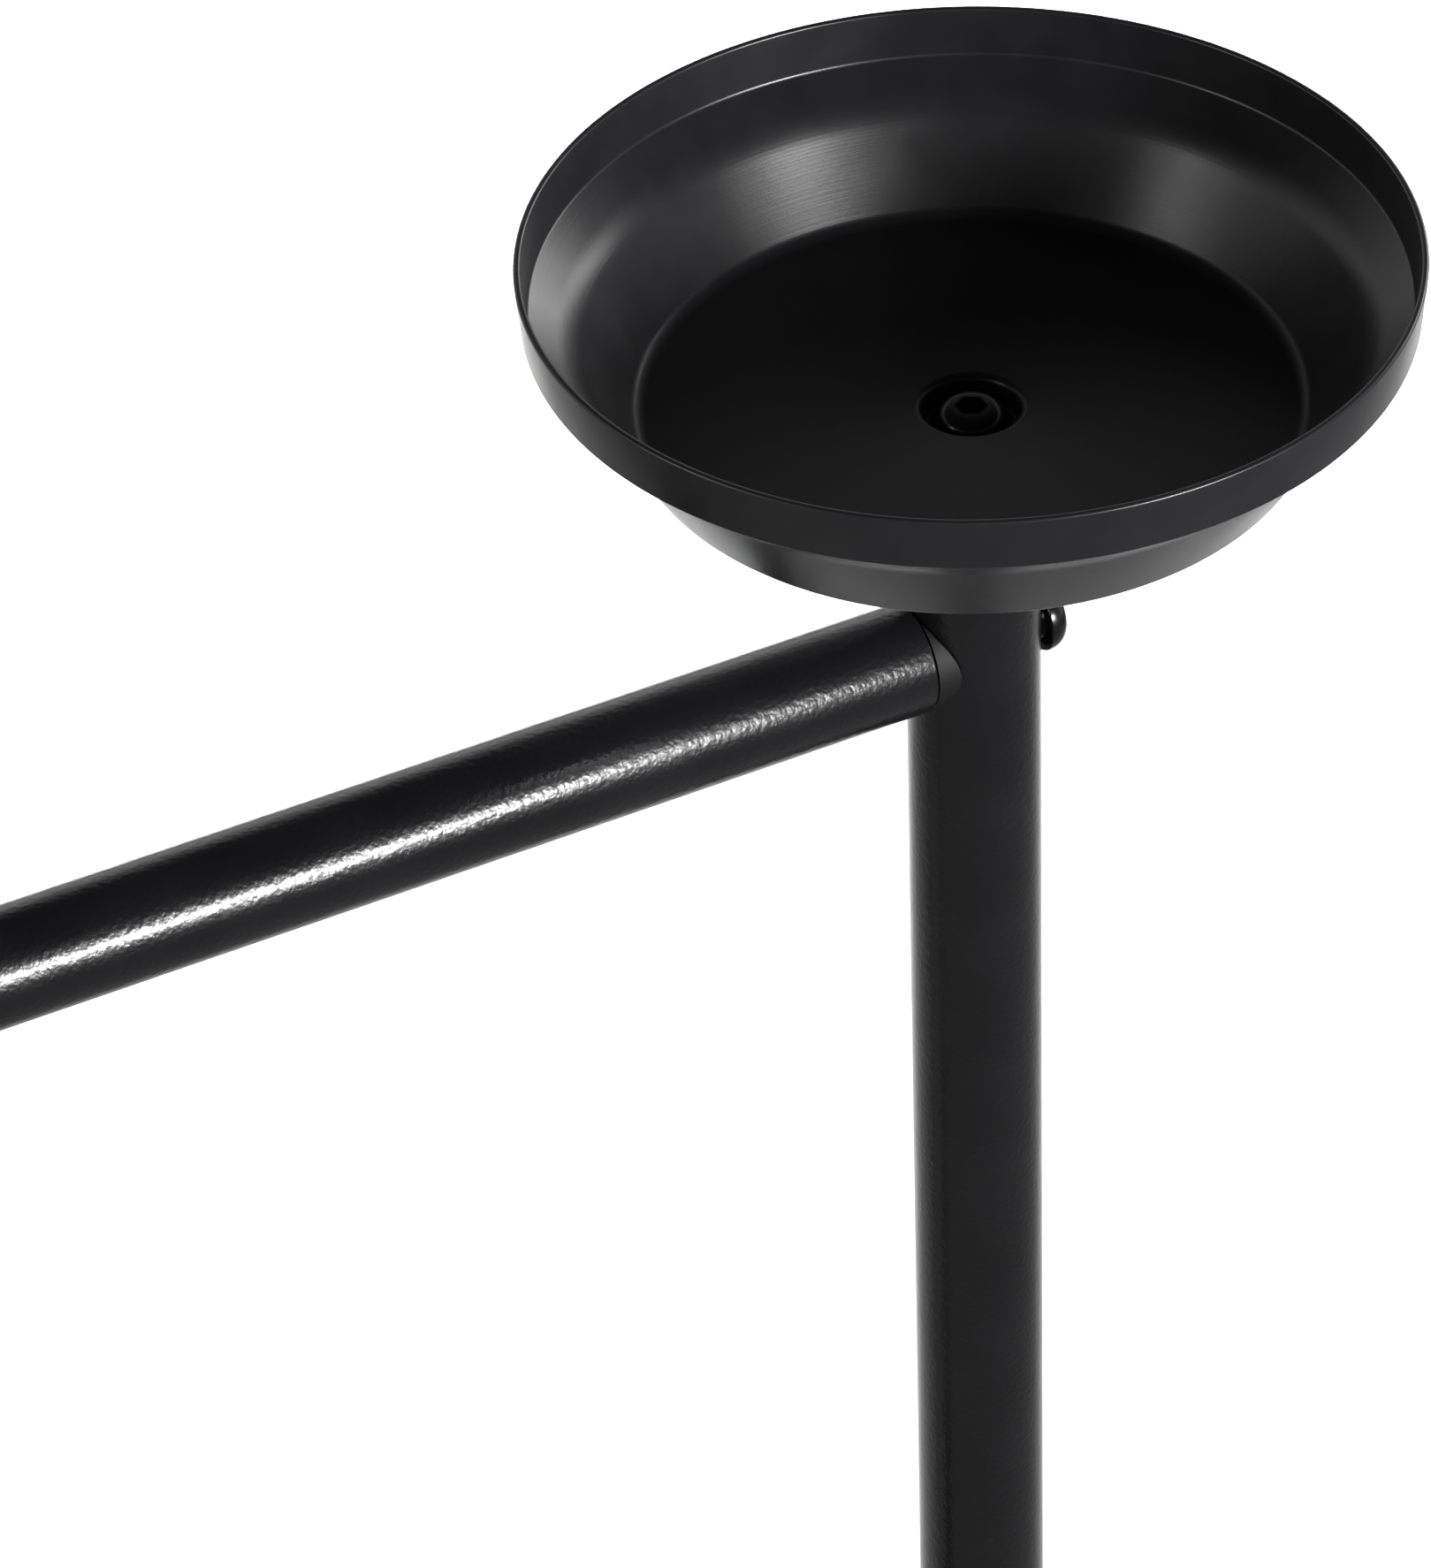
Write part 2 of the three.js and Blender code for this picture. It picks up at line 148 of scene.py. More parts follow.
def ramp(tree, factor, stops):
    """Adds a colour ramp through (place, sRGB hex) stops."""
    node = add_node(tree, "ValToRGB", {"Fac": factor})
    scale = node.color_ramp
    while len(scale.elements) < len(stops):
        scale.elements.new(0.5)
    for element, (place, colour) in zip(scale.elements, stops):
        element.position = place
        element.color = tone(colour)
    return node


FLOOR_SPAN = 12.0
PAPER_GRAIN = 1 / (3 * MM)
bpy.ops.object.select_all(action="DESELECT")
bpy.ops.mesh.primitive_plane_add(size=FLOOR_SPAN)
floor = bpy.context.object
floor.name = floor.data.name = "paper_floor"
floor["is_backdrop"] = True

# Matt white paper: evenly pale, with the faintest cloudiness and no shine.
paper, tree = new_material("matt white background paper")
place = add_node(tree, "TexCoord").outputs["Object"]
cloud = add_node(tree, "TexNoise", {"Vector": place, "Scale": 2.0, "Detail": 2.0})
grain = add_node(tree, "TexNoise", {"Vector": place, "Scale": PAPER_GRAIN, "Detail": 2.0})
shade = ramp(tree, cloud.outputs["Fac"], [(0.3, "F0F0EF"), (0.7, "F4F4F3")])
relief = add_node(tree, "Bump", {"Height": grain.outputs["Fac"], "Strength": 0.2, "Distance": 0.1 * MM})
sheet = add_node(tree, "BsdfPrincipled", {
    "Base Color": shade.outputs["Color"], "Roughness": 0.95, "Specular IOR Level": 0.1,
    "Normal": relief.outputs["Normal"],
})
close_material(tree, sheet)
floor.data.materials.append(paper)


def soft_box(name, place, aim, width, height, power, spread=180):
    """Hangs a rectangular soft light at a place and turns it to face a point."""
    light = bpy.data.lights.new(name, "AREA")
    light.shape = "RECTANGLE"
    light.size = width
    light.size_y = height
    light.energy = power
    light.spread = math.radians(spread)
    lamp = bpy.data.objects.new(name, light)
    bpy.context.scene.collection.objects.link(lamp)
    turn = (aim - place).to_track_quat("-Z", "Y").to_matrix().to_4x4()
    lamp.matrix_world = Matrix.Translation(place) @ turn
    lamp.visible_camera = False


def toward(right, back, up, distance):
    """A place at a distance from the tray, in a direction."""
    return rim_centre + Vector((right, back, up)).normalized() * distance


WASH_SPOT = Vector((0.90, 1.40, 0.0))    # the middle of the floor that is seen behind the tray
WASH_HEIGHT = Vector((0.0, 0.0, 2.4))
# The wash whitens the floor, the key draws the streak along the rails, and the fills edge the tray.
soft_box("floor_wash", WASH_SPOT + WASH_HEIGHT, WASH_SPOT, 1.2, 1.0, 25, spread=57)
soft_box("front_key", toward(0.33, -0.92, 0.23, 1.7), rim_centre, 0.6, 0.3, 3.5, spread=50)
soft_box("right_fill", toward(0.90, 0.30, 0.22, 1.6), rim_centre, 1.0, 0.4, 7)
soft_box("left_fill", toward(-0.95, 0.1, 0.3, 2.4), rim_centre, 0.8, 0.8, 8)

# The room is white round the horizon, most of all behind the stand, and dark above.
world = bpy.data.worlds.new("studio_room")
world.use_nodes = True
bpy.context.scene.world = world
tree = world.node_tree
tree.nodes.clear()
direction = add_node(tree, "TexCoord").outputs["Generated"]
parts = add_node(tree, "SeparateXYZ", {"Vector": direction})
wall = ramp(tree, parts.outputs["Z"], [(0.0, "FFFFFF"), (0.2, "F0F0F2"), (0.48, "8A8A8C"), (0.57, "2A2A2C")])
behind = add_node(tree, "MapRange", {
    "Value": parts.outputs["Y"], "From Min": -0.6, "From Max": 0.3, "To Min": 0.3, "To Max": 1.0,
})
glow = add_node(tree, "Background", {"Color": wall.outputs["Color"], "Strength": behind.outputs["Result"]})
add_node(tree, "OutputWorld", {"Surface": glow.outputs[0]})
bpy.context.scene.view_settings.view_transform = "Standard"


# ---------------------------------------------------------------- feet
# Each foot is a length of 19 mm steel tube with a 1.2 mm wall, sawn square and deburred. It is
# drilled across for the two base rails, upwards for the post, and underneath for two inserts.
TUBE_SIDES = 96
WIDE_TUBE = 9.5 * MM            # outer radius of the 19 mm tube
THIN_TUBE = 8 * MM              # outer radius of the 16 mm tube
WALL = 1.2 * MM
DEBURR = 0.3 * MM
BOLT_HOLE = 3.3 * MM
INSERT_HOLE = 4.8 * MM
COLLAR = 1.35                   # a tube is ringed this many hole radii each side of a hole
THROUGH = 20 * MM               # a drill reaches this far past a tube's axis
SMOOTH_UNDER = math.radians(35)


def newest(name):
    """Names the part that was just added and goes into edit mode on it."""
    part = bpy.context.object
    part.name = part.data.name = name
    bpy.ops.object.mode_set(mode="EDIT")
    return part


def pick(part, kind, test):
    """Selects only those faces or edges of a part in edit mode that pass a test."""
    bpy.ops.mesh.select_mode(type=kind)
    bpy.ops.mesh.select_all(action="DESELECT")
    shape = bmesh.from_edit_mesh(part.data)
    for item in shape.faces if kind == "FACE" else shape.edges:
        item.select_set(test(item))
    bmesh.update_edit_mesh(part.data)


def only(part):
    """Makes a part the one thing that is selected and active."""
    bpy.ops.object.select_all(action="DESELECT")
    part.select_set(True)
    bpy.context.view_layer.objects.active = part


def settle(part, place, up=Z, right=None):
    """Puts a part at a place with its own Z and X along two directions, and applies that."""
    right = (right or up.orthogonal()).normalized()
    turn = Matrix((right, up.cross(right), up)).transposed().to_4x4()
    part.matrix_world = Matrix.Translation(place) @ turn
    only(part)
    bpy.ops.object.transform_apply(location=True, rotation=True, scale=True)
    return part


def apply_modifier(part, kind, **settings):
    """Gives a part one modifier and applies it at once."""
    only(part)
    modifier = part.modifiers.new(kind.lower(), kind)
    for name, value in settings.items():
        setattr(modifier, name, value)
    bpy.ops.object.modifier_apply(modifier=modifier.name)


def cut_away(part, cutter):
    """Takes the cutter's shape out of a part and throws the cutter away."""
    apply_modifier(part, "BOOLEAN", operation="DIFFERENCE", solver="EXACT", object=cutter)
    bpy.data.objects.remove(cutter)


def drill(part, place, direction, radius, start, end, sides=48):
    """Drills a round hole along a line through a place, between two distances from it."""
    bpy.ops.object.select_all(action="DESELECT")
    bpy.ops.mesh.primitive_cylinder_add(vertices=sides, radius=radius, depth=end - start)
    cut_away(part, settle(bpy.context.object, place + direction * (start + end) / 2, direction))


def main_axis(direction):
    """The number of the axis that a direction lies along."""
    return max(range(3), key=lambda k: abs(direction[k]))


def level_with(node, other, direction):
    """The middle of a node, moved along a direction until it is level with another node's middle."""
    place = middle(node)
    axis = main_axis(direction)
    place[axis] = middle(other)[axis]
    return place


def saw_tube(name, node, along):
    """Saws and deburrs the tube that stands where a CAD tube is."""
    low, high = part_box(node)
    axis = main_axis(along)
    length = high[axis] - low[axis]
    radius = min((high - low)[k] for k in range(3) if k != axis) / 2
    bpy.ops.object.select_all(action="DESELECT")
    bpy.ops.mesh.primitive_cylinder_add(vertices=TUBE_SIDES, radius=radius, depth=length)
    part = newest(name)
    pick(part, "FACE", lambda face: abs(face.normal.z) > 0.9)
    bpy.ops.mesh.inset(thickness=WALL)
    bpy.ops.mesh.bridge_edge_loops()
    pick(part, "EDGE", lambda edge: edge.calc_length() < WALL * 0.8 and all(
        abs(abs(corner.co.z) - length / 2) < 0.01 * MM for corner in edge.verts
    ))
    bpy.ops.mesh.bevel(offset=DEBURR, segments=3, affect="EDGES")
    bpy.ops.object.mode_set(mode="OBJECT")
    return settle(part, (low + high) / 2, along)


def ring_tube(part, place, along, reach):
    """Cuts a ring of edges round a tube at both sides of a hole, so that it shades evenly."""
    only(part)
    bpy.ops.object.mode_set(mode="EDIT")
    for side in (-1, 1):
        bpy.ops.mesh.select_all(action="SELECT")
        bpy.ops.mesh.bisect(plane_co=place + along * side * reach, plane_no=along)
    bpy.ops.object.mode_set(mode="OBJECT")


def bore_tube(part, node, along, fastener, direction, radius=BOLT_HOLE, one_wall=False):
    """Drills a tube where a fastener passes: through both walls, or only the one it comes from."""
    place = level_with(fastener, node, direction)
    ring_tube(part, place, along, COLLAR * radius)
    drill(part, place, direction, radius, 0 if one_wall else -THROUGH, THROUGH)


def smooth(part):
    """Shades a part smooth but for its sharp corners."""
    only(part)
    bpy.ops.object.shade_smooth_by_angle(angle=SMOOTH_UNDER)


def fit(part, finish, slot, *nodes, body=BODY):
    """Gives a finished part its material, the body it moves with, and what it replaces. The slot is not used.
    """
    smooth(part)
    part.data.materials.clear()
    part.data.materials.append(finish)
    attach(part, body)
    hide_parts(*nodes)


# Black powder coat, sprayed as dust and melted in an oven. It sets to a semi-gloss skin with an
# orange-peel ripple about a millimetre across, which breaks every highlight into fine mottling.
PEEL = 1 / (0.85 * MM)
FINE_PEEL = 1 / (0.42 * MM)
powder_coat, tree = new_material("black semi-gloss powder coat on steel")
place = add_node(tree, "TexCoord").outputs["Object"]
peel = add_node(tree, "TexNoise", {"Vector": place, "Scale": PEEL, "Detail": 1.5, "Roughness": 0.45})
fine = add_node(tree, "TexNoise", {"Vector": place, "Scale": FINE_PEEL, "Detail": 1.0})
broad = add_node(tree, "TexNoise", {"Vector": place, "Scale": 1 / (14 * MM), "Detail": 2.0})
ripple = add_node(tree, "Bump", {"Height": peel.outputs["Fac"], "Strength": 1.0, "Distance": 0.065 * MM})
skin = add_node(tree, "Bump", {
    "Height": fine.outputs["Fac"], "Strength": 1.0, "Distance": 0.012 * MM,
    "Normal": ripple.outputs["Normal"],
})
black = ramp(tree, broad.outputs["Fac"], [(0.35, "131315"), (0.65, "171719")])
gloss = add_node(tree, "MapRange", {
    "Value": broad.outputs["Fac"], "From Min": 0.3, "From Max": 0.7, "To Min": 0.23, "To Max": 0.27,
})
coat = add_node(tree, "BsdfPrincipled", {
    "Base Color": black.outputs["Color"], "Roughness": gloss.outputs["Result"], "IOR": 1.5,
    "Normal": skin.outputs["Normal"],
})
close_material(tree, coat)

for side in ("left", "right"):
    node = f"{side}_foot"
    foot = saw_tube(f"{side}_foot_tube", node, Y)
    for rail in ("front_base_rail", "rear_base_rail"):
        bore_tube(foot, node, Y, f"{rail}_{side}_bolt", X)
    bore_tube(foot, node, Y, f"{side}_post_foot_bolt", Z)
    for end in ("front", "back"):
        bore_tube(foot, node, Y, f"{side}_{end}_insert", -Z, INSERT_HOLE, one_wall=True)
    fit(foot, powder_coat, "tube_coat", node)


# ---------------------------------------------------------------- base rails
# The front base rail is a 16 mm tube and the rear one a 19 mm tube, which also carries the mast.
# Both are sawn square and stop just short of the feet. The rear one is drilled for the mast bolt.
front_base = saw_tube("front_base_rail_tube", "front_base_rail", X)
fit(front_base, powder_coat, "tube_coat", "front_base_rail")
rear_base = saw_tube("rear_base_rail_tube", "rear_base_rail", X)
bore_tube(rear_base, "rear_base_rail", X, "mast_base_bolt", Z)
fit(rear_base, powder_coat, "tube_coat", "rear_base_rail")


# ---------------------------------------------------------------- posts
# Two uprights of 19 mm tube stand on the feet. Each is drilled across for the bolts of the top
# rail and of the trouser rail, and powder coated after drilling.
for side in ("left", "right"):
    post = saw_tube(f"{side}_post_tube", f"{side}_post", Z)
    for rail in ("top_rail", "trouser_rail"):
        bore_tube(post, f"{side}_post", Z, f"{rail}_{side}_bolt", X)
    fit(post, powder_coat, "tube_coat", f"{side}_post")


# ---------------------------------------------------------------- top rail and trouser rail
# Two 16 mm tubes join the posts. The top one has a hole behind for the long spacer bolt, and a
# wider one in front for the sleeve nut.
SLEEVE_HOLE = 4.6 * MM
top_rail = saw_tube("top_rail_tube", "top_rail", X)
spacer_line = level_with("spacer_bolt", "top_rail", Y)
ring_tube(top_rail, spacer_line, X, COLLAR * SLEEVE_HOLE)
drill(top_rail, spacer_line, Y, BOLT_HOLE, 0, THROUGH)
drill(top_rail, spacer_line, -Y, SLEEVE_HOLE, 0, THROUGH)
fit(top_rail, powder_coat, "tube_coat", "top_rail")
trouser_rail = saw_tube("trouser_rail_tube", "trouser_rail", X)
fit(trouser_rail, powder_coat, "tube_coat", "trouser_rail")


# ---------------------------------------------------------------- mast and its spacer
# A 19 mm tube stands on the rear base rail and carries the hanger. A short 16 mm tube spaces it
# from the top rail, and the long bolt passes through the mast and the spacer.
mast = saw_tube("mast_tube", "mast", Z)
bore_tube(mast, "mast", Z, "spacer_bolt", Y)
fit(mast, powder_coat, "tube_coat", "mast")
spacer = saw_tube("mast_spacer_tube", "mast_spacer", Y)
fit(spacer, powder_coat, "tube_coat", "mast_spacer")


# ---------------------------------------------------------------- hanger
# One 19 mm tube bent on a tube bender: level over the mast, sloping down to each shoulder, and
# turned down at the tips. It is drilled upright through both walls for the bolt to the mast.
LEVEL_LENGTH = 18 * MM
NECK_BEND = 60 * MM
SHOULDER_SLOPE = math.radians(20)
SHOULDER_LENGTH = 128 * MM
TIP_BEND = 90 * MM
TIP_TURN = math.radians(26)
TIP_LENGTH = 15 * MM
BEND_STEPS = 18
WELD = 0.002 * MM               # corners closer than this are one corner

hanger_radius = (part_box("hanger")[1].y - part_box("hanger")[0].y) / 2
bpy.ops.object.select_all(action="DESELECT")
bpy.ops.mesh.primitive_circle_add(vertices=TUBE_SIDES, radius=hanger_radius, rotation=(0, math.pi / 2, 0))
hanger = bpy.context.object
bpy.ops.object.transform_apply(location=True, rotation=True, scale=True)
newest("hanger_tube")
bpy.ops.mesh.select_all(action="SELECT")
front = Vector((0, 0, 0))
slope = 0.0
stretches = [
    (LEVEL_LENGTH, NECK_BEND, SHOULDER_SLOPE), (SHOULDER_LENGTH, TIP_BEND, TIP_TURN), (TIP_LENGTH, 0, 0),
]
for straight, bend_radius, turn in stretches:
    run = Vector((math.cos(slope), 0, -math.sin(slope))) * straight
    bpy.ops.mesh.extrude_region_move(TRANSFORM_OT_translate={"value": run})
    front += run
    if turn:
        pivot = front + Vector((-math.sin(slope), 0, -math.cos(slope))) * bend_radius
        bpy.ops.mesh.spin(steps=BEND_STEPS, angle=-turn, center=pivot, axis=Y)
        slope += turn
        front = pivot + Vector((math.sin(slope), 0, math.cos(slope))) * bend_radius
bpy.ops.mesh.select_all(action="SELECT")
bpy.ops.mesh.remove_doubles(threshold=WELD)
bpy.ops.mesh.normals_make_consistent(inside=False)
bpy.ops.object.mode_set(mode="OBJECT")
apply_modifier(hanger, "MIRROR", merge_threshold=0.01 * MM)
only(hanger)
bpy.ops.object.mode_set(mode="EDIT")
bpy.ops.mesh.select_all(action="SELECT")
bpy.ops.mesh.normals_make_consistent(inside=False)
bpy.ops.object.mode_set(mode="OBJECT")
apply_modifier(hanger, "SOLIDIFY", thickness=WALL, offset=-1.0, use_even_offset=True)
apply_modifier(hanger, "BEVEL", width=DEBURR, segments=3, limit_method="ANGLE", angle_limit=math.radians(60))
hanger_seat = middle("hanger")
hanger_seat.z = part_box("hanger")[1].z - hanger_radius
settle(hanger, hanger_seat, Z, X)
ring_tube(hanger, hanger_seat, X, COLLAR * BOLT_HOLE)
drill(hanger, hanger_seat, Z, BOLT_HOLE, -THROUGH, THROUGH)
fit(hanger, powder_coat, "tube_coat", "hanger")


# ---------------------------------------------------------------- saddle plugs
# A plug of black nylon fills each tube's end where it meets another tube. Its core is pushed in,
# its shoulder shows as a crescent, and its hollow face sits round the crossing tube.
PLUG_REACH = 22 * MM
PLUG_PLAY = 0.3 * MM
PLUG_SIDES = 72
CORE_CHAMFER = 0.8 * MM
JOINTS = [                      # joint, crossing tube, way into the joined tube, crossing tube's run
    ("left_post_foot", "left_foot", Z, Y),
    ("right_post_foot", "right_foot", Z, Y),
    ("front_base_rail_left", "left_foot", X, Y),
    ("front_base_rail_right", "right_foot", -X, Y),
    ("rear_base_rail_left", "left_foot", X, Y),
    ("rear_base_rail_right", "right_foot", -X, Y),
    ("top_rail_left", "left_post", X, Z),
    ("top_rail_right", "right_post", -X, Z),
    ("trouser_rail_left", "left_post", X, Z),
    ("trouser_rail_right", "right_post", -X, Z),
    ("mast_base", "rear_base_rail", Z, X),
    ("hanger_seat", "hanger", -Z, X),
    ("spacer_rail", "top_rail", Y, X),
    ("spacer_mast", "mast", -Y, Z),
]

# Moulded nylon, black all through, from a finely spark-eroded mould: matt, with a grain of about
# a third of a millimetre that only just shows.
nylon, tree = new_material("moulded matt black nylon")
place = add_node(tree, "TexCoord").outputs["Object"]
grain = add_node(tree, "TexNoise", {"Vector": place, "Scale": 1 / (0.35 * MM), "Detail": 3.0})
relief = add_node(tree, "Bump", {"Height": grain.outputs["Fac"], "Strength": 0.8, "Distance": 0.02 * MM})
black = ramp(tree, grain.outputs["Fac"], [(0.35, "070707"), (0.65, "0C0C0C")])
moulded = add_node(tree, "BsdfPrincipled", {
    "Base Color": black.outputs["Color"], "Roughness": 0.62, "IOR": 1.53, "Specular IOR Level": 0.35,
    "Normal": relief.outputs["Normal"],
})
close_material(tree, moulded)


def joint_place(name, crossing, along):
    """The point where the axes of two joined tubes meet."""
    if crossing == "hanger":
        return hanger_seat.copy()
    return level_with(f"{name}_plug", crossing, along)


def mould_plug(tube_radius, crossing_radius):
    """Moulds a plug along +X for a tube of one radius that meets one of another along Z."""
    shoulder = tube_radius - PLUG_PLAY
    core = tube_radius - WALL - PLUG_PLAY
    bpy.ops.object.select_all(action="DESELECT")
    bpy.ops.mesh.primitive_cylinder_add(
        vertices=PLUG_SIDES, radius=shoulder, depth=crossing_radius, location=(0, 0, crossing_radius / 2),
    )
    part = bpy.context.object
    bpy.ops.object.transform_apply(location=True, rotation=True, scale=True)
    newest("plug")
    pick(part, "FACE", lambda face: face.normal.z > 0.9)
    bpy.ops.mesh.inset(thickness=shoulder - core)
    bpy.ops.mesh.extrude_region_move(TRANSFORM_OT_translate={"value": (0, 0, PLUG_REACH)})
    bpy.ops.mesh.bevel(offset=CORE_CHAMFER, segments=3, affect="EDGES")
    bpy.ops.object.mode_set(mode="OBJECT")
    settle(part, Vector((0, 0, 0)), X, -Z)
    drill(part, Vector((0, 0, 0)), Z, crossing_radius + PLUG_PLAY, -THROUGH, THROUGH, TUBE_SIDES)
    drill(part, Vector((0, 0, 0)), X, BOLT_HOLE, 0, 2 * THROUGH)
    return part


def place_copy(pattern, name, place, up, right):
    """Sets a copy of a part, with its own mesh, at a place."""
    copy = pattern.copy()
    copy.data = pattern.data.copy()
    copy.name = copy.data.name = name
    bpy.context.scene.collection.objects.link(copy)
    return settle(copy, place, up, right)


plug_patterns = {}
for name, crossing, along, across in JOINTS:
    low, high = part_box(f"{name}_plug")
    shoulder = max((high - low)[k] for k in range(3) if k != main_axis(along)) / 2
    tube_radius = min((WIDE_TUBE, THIN_TUBE), key=lambda radius: abs(radius - PLUG_PLAY - shoulder))
    crossing_radius = THIN_TUBE if crossing == "top_rail" else WIDE_TUBE
    sizes = (tube_radius, crossing_radius)
    if sizes not in plug_patterns:
        plug_patterns[sizes] = mould_plug(*sizes)
    place = joint_place(name, crossing, along)
    plug = place_copy(plug_patterns[sizes], f"{name}_saddle_plug", place, across, along)
    fit(plug, nylon, "plug_plastic", f"{name}_plug")
for pattern in plug_patterns.values():
    bpy.data.objects.remove(pattern)


# ---------------------------------------------------------------- bolts
# M6 button-head bolts of black-finished steel, cold headed with a 4 mm hexagon socket and rolled
# thread. One goes through the crossing tube into each saddle plug, its head on the far side.
HEAD_RADIUS = 5.25 * MM
HEAD_HEIGHT = 3.3 * MM
HEAD_EDGE = 0.5 * MM
HEAD_TOP_RADIUS = 2.9 * MM
SOCKET_RADIUS = 4 / math.sqrt(3) * MM
SOCKET_DEPTH = 1.9 * MM
SOCKET_BEVEL = 0.35 * MM        # width of the sloping ring round the socket's floor
SOCKET_CONE = 0.15 * MM         # how far the floor is sunk inside that ring
THREAD_RADIUS = 3.0 * MM
THREAD_ROOT = 2.45 * MM
PITCH = 1.0 * MM
BOLT_SIDES = 64
ARC_STEPS = 10


def turn_profile(name, outline, sides=BOLT_SIDES):
    """Turns an outline of (radius, height) points about Z, as on a lathe."""
    bpy.ops.object.select_all(action="DESELECT")
    bpy.ops.mesh.primitive_plane_add(size=MM)
    part = newest(name)
    bpy.ops.mesh.select_mode(type="VERT")
    bpy.ops.mesh.select_all(action="SELECT")
    bpy.ops.mesh.merge(type="CENTER")
    bpy.ops.transform.translate(value=(outline[0][0], 0, outline[0][1]))
    for (radius, height), (next_radius, next_height) in zip(outline, outline[1:]):
        step = (next_radius - radius, 0, next_height - height)
        bpy.ops.mesh.extrude_vertices_move(TRANSFORM_OT_translate={"value": step})
    bpy.ops.mesh.select_all(action="SELECT")
    bpy.ops.mesh.spin(steps=sides, angle=math.tau, center=(0, 0, 0), axis=(0, 0, 1))
    bpy.ops.mesh.select_all(action="SELECT")
    bpy.ops.mesh.remove_doubles(threshold=WELD)
    bpy.ops.mesh.normals_make_consistent(inside=False)
    bpy.ops.object.mode_set(mode="OBJECT")
    return part


def rounded(corners, steps=4):
    """Rounds each (radius, height, fillet) corner of an outline that has a fillet."""
    outline = []
    for k, (radius, height, *fillet) in enumerate(corners):
        here = Vector((radius, height))
        if not fillet:
            outline.append(here)
            continue
        back = (Vector(corners[k - 1][:2]) - here).normalized()
        on = (Vector(corners[k + 1][:2]) - here).normalized()
        half = back.angle(on) / 2
        centre = here + (back + on).normalized() * (fillet[0] / math.sin(half))
        first = here + back * (fillet[0] / math.tan(half)) - centre
        last = here + on * (fillet[0] / math.tan(half)) - centre
        sweep = first.angle(last)
        for j in range(steps + 1):
            ahead = math.sin(sweep * j / steps) / math.sin(sweep)
            behind = math.sin(sweep * (1 - j / steps)) / math.sin(sweep)
            outline.append(centre + first * behind + last * ahead)
    return outline


def crown(radius, top_radius, foot, height):
    """The corners of a quarter round from its foot up to a flat top that ends on the axis."""
    points = []
    for k in range(ARC_STEPS + 1):
        turn = k / ARC_STEPS * math.pi / 2
        across = top_radius + (radius - top_radius) * math.cos(turn)
        points.append((across, foot + height * math.sin(turn)))
    points.append((0, foot + height))
    return points


def thread(radius, root, start, end):
    """The corners of a thread from one height up to another, drawn as rings a pitch apart.

    Each ring climbs from root to crest, runs flat along the crest, and falls back to the root.
    """
    points = []
    for k in range(int((end - start) / PITCH)):
        foot = start + k * PITCH
        points += [(root, foot + 0.1 * PITCH), (radius, foot + 0.45 * PITCH)]
        points += [(radius, foot + 0.6 * PITCH), (root, foot + 0.95 * PITCH)]
    return points


def head_outline():
    """The outside of a button head whose flat side is at height 0."""
    edge = [(HEAD_RADIUS - 0.2 * MM, 0), (HEAD_RADIUS, 0.2 * MM)]
    return edge + crown(HEAD_RADIUS, HEAD_TOP_RADIUS, HEAD_EDGE, HEAD_HEIGHT - HEAD_EDGE)


def broach(part):
    """Presses the hexagon socket into a head that faces up, with a conical bottom."""
    bpy.ops.object.select_all(action="DESELECT")
    bpy.ops.mesh.primitive_cylinder_add(vertices=6, radius=SOCKET_RADIUS, depth=2 * SOCKET_DEPTH)
    punch = newest("punch")
    pick(punch, "FACE", lambda face: face.normal.z < -0.9)
    bpy.ops.mesh.inset(thickness=SOCKET_BEVEL)
    bpy.ops.transform.translate(value=(0, 0, -SOCKET_CONE))
    bpy.ops.object.mode_set(mode="OBJECT")
    cut_away(part, settle(punch, Vector((0, 0, HEAD_HEIGHT + SOCKET_CONE)), Z, X))


def forge_bolt(name, length):
    """Makes a button-head bolt whose head faces up with its flat side at height 0."""
    end = -length
    outline = [(0, end), (THREAD_ROOT - 0.3 * MM, end), (THREAD_ROOT, end + 0.3 * MM)]
    outline += thread(THREAD_RADIUS, THREAD_ROOT, end + 0.4 * MM, end + min(length - 2 * MM, 20 * MM))
    outline += [(THREAD_RADIUS, outline[-1][1] + 0.4 * PITCH), (THREAD_RADIUS, -0.3 * MM)]
    outline += [(THREAD_RADIUS + 0.25 * MM, 0)]
    bolt = turn_profile(name, outline + head_outline())
    broach(bolt)
    return bolt


# Steel with a black phosphate and oil finish over a smooth cold-headed skin: glossy and nearly
# black, with faint turning marks left by the tool.
bolt_black, tree = new_material("glossy black-finished bolt steel")
place = add_node(tree, "TexCoord").outputs["Object"]
patch = add_node(tree, "TexNoise", {"Vector": place, "Scale": 1 / (2.5 * MM), "Detail": 3.0})
pits = add_node(tree, "TexNoise", {"Vector": place, "Scale": 1 / (0.3 * MM), "Detail": 2.0})
relief = add_node(tree, "Bump", {"Height": pits.outputs["Fac"], "Strength": 1.0, "Distance": 0.002 * MM})
black = ramp(tree, patch.outputs["Fac"], [(0.3, "090909"), (0.7, "101011")])
gloss = add_node(tree, "MapRange", {"Value": patch.outputs["Fac"], "To Min": 0.15, "To Max": 0.25})
finish = add_node(tree, "BsdfPrincipled", {
    "Base Color": black.outputs["Color"], "Roughness": gloss.outputs["Result"], "IOR": 1.6,
    "Normal": relief.outputs["Normal"],
})
close_material(tree, finish)

